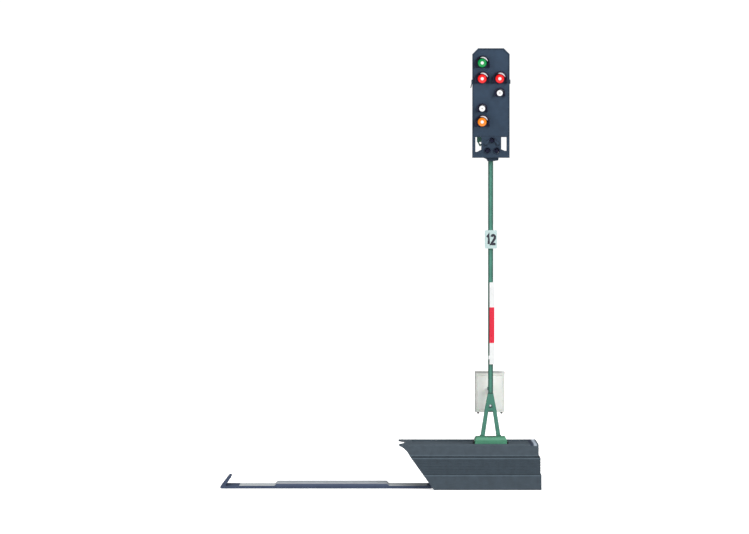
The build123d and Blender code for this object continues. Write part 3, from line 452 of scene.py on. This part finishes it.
def make_materials():
    made = {
        "clip_plastic": worked("clip_plastic", linear(60, 71, 94), edge=(0.00008, 1.4), **SOFT_SHINE),
        "cover_plastic": cover_material(),
        "contact_metal": worked(
            "contact_metal", linear(196, 201, 204), (0.4, 0.55), (700.0, 0.05), Metallic=0.1
        ),
        "screw_steel": worked("screw_steel", linear(120, 122, 126), (0.3, 0.5), Metallic=1.0),
        "board_laminate": worked("board_laminate", linear(20, 92, 52), (0.3, 0.4)),
        "component_black": worked("component_black", linear(28, 28, 30)),
        "capacitor_can": worked("capacitor_can", linear(190, 192, 196), (0.25, 0.35), Metallic=1.0),
        "socket_plastic": worked("socket_plastic", linear(24, 27, 34)),
        "pin_brass": worked("pin_brass", linear(214, 178, 96), (0.2, 0.35), Metallic=1.0),
        "mast_paint": frame_material(),
        "mast_profile_paint": profile_material(),
        "foot_paint": worked("foot_paint", linear(66, 134, 104), (0.35, 0.55), edge=(0.00012, 1.2)),
        "rivet_steel": rivet_material(),
        "wire_enamel": worked("wire_enamel", linear(52, 110, 88), (0.2, 0.3)),
        "cabinet_foot": worked("cabinet_foot", linear(96, 104, 100)),
        "shield_plastic": shield_material(),
        "housing_plastic": worked(
            "housing_plastic", linear(50, 62, 78), edge=(0.00008, 1.4), **SOFT_SHINE
        ),
        "visor_plastic": worked("visor_plastic", linear(7, 12, 44), (0.45, 0.6), **SOFT_SHINE),
        "lens_dark_glass": worked("lens_dark_glass", linear(4, 6, 44), (0.15, 0.25), **SOFT_SHINE),
        "led_body": worked("led_body", linear(235, 235, 215), (0.3, 0.4)),
        "base_plastic": base_material(),
        "sign_enamel": sign_material(),
        "number_plastic": worked(
            "number_plastic", linear(192, 215, 214), (0.25, 0.35), (900.0, 0.04), edge=(0.00016, 0.75)
        ),
        "digit_print": worked("digit_print", linear(22, 24, 40), (0.4, 0.5), (1500.0, 0.15)),
        "cabinet_plastic": cabinet_material(),
        # Nearly black green: painted shade at the roots of the legs.
        "weld_painted_shade": worked("weld_painted_shade", linear(14, 40, 36), (0.4, 0.6), (2500.0, 0.2)),
        "hood_glint_bright": worked(
            "hood_glint_bright", linear(240, 240, 246), (0.1, 0.2), (1500.0, 0.1), **GLINT_GLOW
        ),
        "hood_glint_dim": worked("hood_glint_dim", linear(150, 152, 158), (0.1, 0.2), (1500.0, 0.1)),
        # Nearly black: painted shade in the gap beside the foot.
        "gap_shade_black": worked("gap_shade_black", linear(14, 15, 20), (0.6, 0.75)),
        "wire_sleeve_rubber": worked("wire_sleeve_rubber", linear(30, 32, 36), (0.55, 0.7)),
    }
    return {slot: graph.material for slot, graph in made.items()}


BEZEL_THICKNESS = 0.2 * MM
GLINT_START = 18
GLINT_END = 108
SHIELD_FACE_INSET = 0.35 * MM
TRAY_DEPTH = 0.35 * MM
TRAY_MARGIN = 1.75 * MM
TRAY_RIGHT_INSET = -1.82 * MM
RAMP_LENGTH = 1.3 * MM

LAMP_COLOURS = {
    "green": (linear(0, 152, 72), 1.0),
    "red_left": (linear(255, 25, 25), 1.0),
    "red_right": (linear(255, 25, 25), 1.0),
    "white_right": (linear(255, 255, 255), 1.0),
    "white_left": (linear(255, 255, 255), 1.0),
    "orange": (linear(255, 135, 10), 1.0),
}


def lens_material(name, colour, power):
    """A lit lens: a strong colour with a white-hot core where the diode shines through."""
    low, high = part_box("lens_" + name)
    centre = (low + high) / 2
    g = Graph("lens_glass_" + name)
    split = g.node("SeparateXYZ", Vector=g.place())
    dx = g.maths("SUBTRACT", split.outputs[0], centre.x)
    dz = g.maths("SUBTRACT", split.outputs[2], centre.z)
    square = g.maths("ADD", g.maths("MULTIPLY", dx, dx), g.maths("MULTIPLY", dz, dz))
    radius = (high.x - low.x) / 2
    away = g.maths("DIVIDE", g.maths("SQRT", square), radius)
    white = (1.0, 1.0, 1.0, 1.0)
    core = 0.3
    if name.startswith("white"):
        grey = linear(188, 182, 176)
        glow = g.ramp(away, [(0.24, grey), (0.42, white), (0.9, white), (1.0, linear(225, 228, 235))])
    else:
        rim = tinted(colour, 0.75)
        glow = g.ramp(away, [(core, white), (core + 0.12, colour), (0.86, colour), (1.0, rim)])
    g.set("Base Color", tinted(colour, 0.12))
    g.set("Emission Color", glow)
    g.shader.inputs["Emission Strength"].default_value = power
    g.shader.inputs["Roughness"].default_value = 0.12
    return g.material


def clean_cad(name, bevel):
    """Small rounded edges on a CAD node, which is otherwise knife-sharp."""
    piece = NODES[name]
    weld = piece.modifiers.new("weld", "WELD")
    weld.merge_threshold = 0.000001
    if bevel:
        round_off = piece.modifiers.new("bevel", "BEVEL")
        round_off.width = bevel
        round_off.segments = 2
        round_off.limit_method = "ANGLE"
        round_off.angle_limit = math.radians(35)
        round_off.harden_normals = False


BEVELS = {
    "base_housing": 0.00012,
    "mast_foot": 0.00012,
    "track_clip_arm": 0.00005,
    "strip_cover": 0.00005,
    "mast_profile": 0.00004,
    "mast_frame_front": 0.00004,
    "mast_frame_rear": 0.00004,
    "mast_sign": 0.00003,
    "number_plate": 0.00003,
    "cabinet_body": 0.00007,
    "head_shield": 0.00005,
    "lamp_housing": 0.00008,
    "head_neck": 0.00008,
    "substitute_housing": 0.00006,
    "visor_green": 0.00005,
    "visor_red_left": 0.00005,
    "visor_red_right": 0.00005,
    "visor_white_right": 0.00004,
    "visor_white_left": 0.00004,
    "visor_orange": 0.00005,
}


def dress_cad(materials):
    for name, piece in NODES.items():
        if name.startswith("lens_"):
            lamp = name.removeprefix("lens_")
            material = lens_material(lamp, *LAMP_COLOURS[lamp])
        elif name == "mast_profile":
            material = materials["mast_profile_paint"]
        else:
            material = materials[SLOT_OF[name]]
        piece.data.materials.clear()
        piece.data.materials.append(material)
        clean_cad(name, BEVELS.get(name))


# ---- pieces finer than the CAD model ----

def as_piece(name, mesh_data, material, body, bevel=None):
    """A finished piece from bmesh data, riding on one body, with one material."""
    mesh = bpy.data.meshes.new(name)
    bmesh.ops.recalc_face_normals(mesh_data, faces=mesh_data.faces)
    mesh_data.to_mesh(mesh)
    mesh_data.free()
    mesh.materials.append(material)
    piece = bpy.data.objects.new(name, mesh)
    bpy.context.scene.collection.objects.link(piece)
    if bevel:
        soft = piece.modifiers.new("bevel", "BEVEL")
        soft.width = bevel
        soft.segments = 2
        soft.limit_method = "ANGLE"
    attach(piece, body)
    return piece


def skin(data, rings, closed=True, capped=True):
    """Faces between successive rings of points, with end caps."""
    made = [[data.verts.new(point) for point in ring] for ring in rings]
    count = len(made[0])
    last = count if closed else count - 1
    for ring, following in zip(made, made[1:]):
        for i in range(last):
            j = (i + 1) % count
            data.faces.new((ring[i], ring[j], following[j], following[i]))
    if capped:
        data.faces.new(made[0])
        data.faces.new(made[-1])


def lathe(data, centre, axis, profile, segments=24):
    """A turned form: profile gives (distance along the axis, radius) pairs."""
    axis = Vector(axis).normalized()
    across = axis.orthogonal().normalized()
    up = axis.cross(across)
    rings = []
    for along, radius in profile:
        ring = []
        for i in range(segments):
            turn = 2 * math.pi * i / segments
            spoke = across * math.cos(turn) + up * math.sin(turn)
            ring.append(Vector(centre) + axis * along + radius * spoke)
        rings.append(ring)
    skin(data, rings)


def ribbon(data, points, width, y0, y1):
    """A flat stroke of even width along (x, z) points, from y0 to y1, with mitred corners."""
    path = [Vector((x, 0.0, z)) for x, z in points]
    left, right = [], []
    for i, point in enumerate(path):
        before = (point - path[i - 1]).normalized() if i else (path[1] - point).normalized()
        after = (path[i + 1] - point).normalized() if i + 1 < len(path) else before
        along = (before + after).normalized()
        normal = Vector((-along.z, 0.0, along.x))
        reach = width / 2 / max(0.5, along.dot(before))
        left.append(point + normal * reach)
        right.append(point - normal * reach)
    rings = []
    for a, b in zip(left, right):
        rings.append([Vector((p.x, y, p.z)) for p, y in ((a, y0), (a, y1), (b, y1), (b, y0))])
    skin(data, rings)


def slab(data, low, high):
    """A block as a closed skin, for bevelled small fittings."""
    corners = [(low[0], low[2]), (high[0], low[2]), (high[0], high[2]), (low[0], high[2])]
    skin(data, [[Vector((x, y, z)) for x, z in corners] for y in (low[1], high[1])])


def arc(centre_x, centre_z, radius_x, radius_z, start, end, steps):
    """Points on an upright ellipse between two angles in degrees."""
    points = []
    for i in range(steps + 1):
        turn = math.radians(start + (end - start) * i / steps)
        points.append((centre_x + radius_x * math.cos(turn), centre_z + radius_z * math.sin(turn)))
    return points


def add_digits(material):
    """A generic number 12 in raised print on the number plate."""
    low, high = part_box("number_plate")
    centre = (low + high) / 2
    front = low.y - 0.03 * MM
    stroke = 0.46 * MM
    half = 0.9 * MM
    data = bmesh.new()
    one = centre.x - 0.42 * MM
    flag = [(one - 0.3 * MM, centre.z + 0.42 * MM), (one, centre.z + half), (one, centre.z - half)]
    ribbon(data, flag, stroke, front, low.y + 0.05 * MM)
    two = centre.x + 0.46 * MM
    bow = arc(two, centre.z + 0.4 * MM, 0.34 * MM, 0.44 * MM, 165, -35, 8)
    foot = [(two - 0.36 * MM, centre.z - half), (two + 0.46 * MM, centre.z - half)]
    ribbon(data, bow + foot, stroke, front, low.y + 0.05 * MM)
    as_piece("number_digits", data, material, "mast")


def add_hood_glints(bright, dim):
    """A pale sliver above each lens, standing in for the light that the hood's inside throws back."""
    for lamp in LAMP_COLOURS:
        low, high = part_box("lens_" + lamp)
        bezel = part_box("visor_" + lamp)[1].y - BEZEL_THICKNESS
        lens = (high.x - low.x) / 2
        x, z = (low.x + high.x) / 2, (low.z + high.z) / 2
        size = lens / (0.85 * MM)
        data = bmesh.new()
        rings = []
        steps = 16
        for i in range(steps + 1):
            share = i / steps
            turn = math.radians(GLINT_START + (GLINT_END - GLINT_START) * share)
            half = (0.02 + 0.11 * math.sin(math.pi * share) ** 0.8) * MM * size
            middle = lens + 0.25 * MM * size
            root, shoulder, crest = -0.02 * MM, 0.07 * MM, 0.1 * MM
            section = [(root, -half), (shoulder, -half), (crest, 0.0), (shoulder, half), (root, half)]
            ring = []
            for lift, off in section:
                r = middle + off
                ring.append(Vector((x + r * math.cos(turn), bezel - lift, z + r * math.sin(turn))))
            rings.append(ring)
        skin(data, rings)
        material = dim if lamp.startswith("white") else bright
        as_piece("hood_glint_" + lamp, data, material, "mast")


def add_substitute_hoods(material):
    """A short eyebrow over each of the three low lamps, and two wings beside the top one."""
    shield_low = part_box("head_shield")[0]
    low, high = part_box("substitute_lenses")
    radius = 0.46 * MM
    face = shield_low.y + SHIELD_FACE_INSET
    lamps = [
        ((low.x + high.x) / 2, high.z - radius),
        (low.x + radius, low.z + radius),
        (high.x - radius, low.z + radius),
    ]
    data = bmesh.new()
    for x, z in lamps:
        rings = []
        for along, inner, outer in ((0.1, 0.5, 0.64), (-0.36, 0.51, 0.62), (-0.4, 0.54, 0.59)):
            y = face + along * MM
            brim = brow(inner * MM, outer * MM)
            rings.append([Vector((x + r * math.cos(t), y, z + r * math.sin(t))) for r, t in brim])
        skin(data, rings)
    top_x, top_z = lamps[0]
    for side in (-1, 1):
        wing = [(0.42, 0.42), (1.35, -0.38), (1.42, -0.62), (1.0, -0.62), (0.98, -0.42), (0.34, 0.16)]
        points = [(top_x + side * x * MM, top_z + z * MM) for x, z in wing]
        skin(data, [[Vector((x, y, z)) for x, z in points] for y in (face + 0.1 * MM, face - 0.3 * MM)])
    as_piece("substitute_hoods", data, material, "mast", 0.03 * MM)


def brow(inner, outer):
    """(radius, turn) pairs round a half ring that opens downwards."""
    turns = [math.radians(-15 + 210 * i / 14) for i in range(15)]
    return [(outer, turn) for turn in turns] + [(inner, turn) for turn in reversed(turns)]


def add_opening_shade_strips(material):
    """Dark strips, guessed, put in the gap on both sides of the foot as painted shade."""
    low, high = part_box("mast_foot")
    base_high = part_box("base_housing")[1]
    data = bmesh.new()
    for side in (-1, 1):
        inner = high.x + 0.03 * MM if side > 0 else low.x - 0.03 * MM
        outer = inner + side * 0.27 * MM
        x0, x1 = sorted((inner, outer))
        bottom, top = base_high.z - 0.5 * MM, base_high.z + 0.32 * MM
        slab(data, (x0, low.y + 0.3 * MM, bottom), (x1, high.y - 0.3 * MM, top))
    as_piece("opening_shade_strips", data, material, "base", 0.05 * MM)


def add_housing_screws(material):
    """Two slotted screws that close the lamp housing at the back."""
    low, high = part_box("lamp_housing")
    data = bmesh.new()
    for z in (low.z + 1.1 * MM, high.z - 1.6 * MM):
        for side in (-1, 1):
            rings = []
            for along, radius in ((-0.05, 0.5), (0.12, 0.5), (0.2, 0.4), (0.22, 0.3)):
                ring = []
                for i in range(9):
                    turn = math.pi * i / 8
                    x = side * (0.08 + (radius - 0.08) * math.sin(turn)) * MM
                    drop = radius * 0.95 * math.cos(turn) * MM
                    ring.append(Vector((x, high.y + along * MM, z - drop)))
                rings.append(ring)
            skin(data, rings)
        lathe(data, (0.0, high.y, z), (0, 1, 0), [(-0.05 * MM, 0.46 * MM), (0.05 * MM, 0.46 * MM)], 20)
    as_piece("housing_screws", data, material, "mast")


def add_cabinet_fittings(materials):
    """Hinge barrels down one side of the relay box, and a door handle and louvres at its back."""
    low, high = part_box("cabinet_body")
    hinges = bmesh.new()
    for share in (0.2, 0.5, 0.8):
        z = low.z + share * (high.z - low.z)
        barrel = [(-0.45, 0.08), (-0.42, 0.12), (0.42, 0.12), (0.45, 0.08)]
        place = (low.x + 0.32 * MM, high.y + 0.02 * MM, z)
        lathe(hinges, place, (0, 0, 1), [(a * MM, r * MM) for a, r in barrel], 14)
    as_piece("cabinet_hinges", hinges, materials["cabinet_plastic"], "mast")
    handle = bmesh.new()
    mid = (low.z + high.z) / 2
    x = high.x - 0.75 * MM
    back = high.y - 0.06 * MM
    boss = [(0, 0.2 * MM), (0.2 * MM, 0.2 * MM), (0.25 * MM, 0.15 * MM)]
    lathe(handle, (x, back, mid), (0, 1, 0), boss, 18)
    grip_low = (x - 0.1 * MM, back + 0.16 * MM, mid - 0.75 * MM)
    grip_high = (x + 0.1 * MM, back + 0.3 * MM, mid + 0.1 * MM)
    slab(handle, grip_low, grip_high)
    as_piece("cabinet_handle", handle, materials["cabinet_foot"], "mast", 0.03 * MM)
    louvres = bmesh.new()
    for i in range(4):
        z = high.z - (1.5 + 0.42 * i) * MM
        slant = [
            (back - 0.02 * MM, z),
            (back + 0.14 * MM, z - 0.2 * MM),
            (back + 0.14 * MM, z - 0.25 * MM),
            (back - 0.02 * MM, z - 0.25 * MM),
        ]
        skin(louvres, [[Vector((side * 1.1 * MM, y, h)) for y, h in slant] for side in (-1, 1)])
    as_piece("cabinet_louvres", louvres, materials["cabinet_plastic"], "mast")


def add_weld_beads(material):
    """Rounded beads, each with a wedge, where the legs of both A-frames stand on the foot; their dark
    colour is painted shade.
    """
    data = bmesh.new()
    for node in ("mast_frame_front", "mast_frame_rear"):
        low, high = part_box(node)
        outer = low.y if node.endswith("front") else high.y
        for side in (-1, 1):
            edge = high.x if side > 0 else low.x
            rings = []
            for i in range(9):
                share = i / 8
                x = edge - side * (0.02 + 0.8 * share) * MM
                fat = (0.09 + 0.035 * math.sin(share * math.pi * 7)) * MM
                ring = []
                for k in range(10):
                    turn = 2 * math.pi * k / 10
                    y = outer + fat * math.cos(turn)
                    ring.append(Vector((x, y, low.z + 0.02 * MM + fat * math.sin(turn))))
                rings.append(ring)
            skin(data, rings)
            wedge = [
                (edge - side * 0.03 * MM, low.z - 0.1 * MM),
                (edge + side * 0.3 * MM, low.z - 0.1 * MM),
                (edge - side * 0.05 * MM, low.z + 0.3 * MM),
            ]
            inwards = -0.4 * MM if node.endswith("rear") else 0.4 * MM
            depth = sorted((outer, outer + inwards))
            skin(data, [[Vector((x, y, z)) for x, z in wedge] for y in depth])
    piece = as_piece("weld_beads", data, material, "mast")
    smooth = piece.modifiers.new("smooth", "SUBSURF")
    smooth.levels = smooth.render_levels = 1


def add_tray_ramp(material):
    """The hollow rounding that carries the tray's floor up to its right-hand rim."""
    low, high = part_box("base_housing")
    right = high.x + TRAY_RIGHT_INSET
    front, back = low.y + TRAY_MARGIN, high.y - TRAY_MARGIN
    floor = high.z - TRAY_DEPTH
    outline = [(right + 0.02 * MM, floor - 0.02 * MM), (right + 0.02 * MM, high.z - 0.01 * MM)]
    for i in range(9):
        turn = math.radians(90 * i / 8)
        x = right - RAMP_LENGTH * math.sin(turn)
        outline.append((x, floor + TRAY_DEPTH * (1 - math.sin(turn)) ** 2))
    outline.append((right - RAMP_LENGTH, floor - 0.02 * MM))
    data = bmesh.new()
    skin(data, [[Vector((x, y, z)) for x, z in outline] for y in (front, back)])
    as_piece("tray_corner_ramp", data, material, "base")


def add_wire_sleeve(material):
    """The ribbed sleeve that carries the lamp wires from the neck into the lamp housing."""
    neck_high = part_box("head_neck")[1]
    housing_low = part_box("lamp_housing")[0]
    bottom, top = neck_high.z - 0.1 * MM, housing_low.z + 0.25 * MM
    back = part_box("substitute_housing")[1].y
    profile = []
    steps = 24
    for i in range(steps + 1):
        radius = 0.27 if i % 2 else 0.31
        profile.append(((top - bottom) * i / steps, radius * MM))
    data = bmesh.new()
    lathe(data, (0.0, back + 0.33 * MM, bottom), (0, 0, 1), profile, 18)
    as_piece("wire_sleeve", data, material, "mast")


make_camera()
make_studio()
make_floor()
MATERIALS = make_materials()
dress_cad(MATERIALS)
add_digits(MATERIALS["digit_print"])
add_hood_glints(MATERIALS["hood_glint_bright"], MATERIALS["hood_glint_dim"])
add_substitute_hoods(MATERIALS["visor_plastic"])
add_opening_shade_strips(MATERIALS["gap_shade_black"])
add_housing_screws(MATERIALS["screw_steel"])
add_cabinet_fittings(MATERIALS)
add_weld_beads(MATERIALS["weld_painted_shade"])
add_tray_ramp(MATERIALS["base_plastic"])
add_wire_sleeve(MATERIALS["wire_sleeve_rubber"])
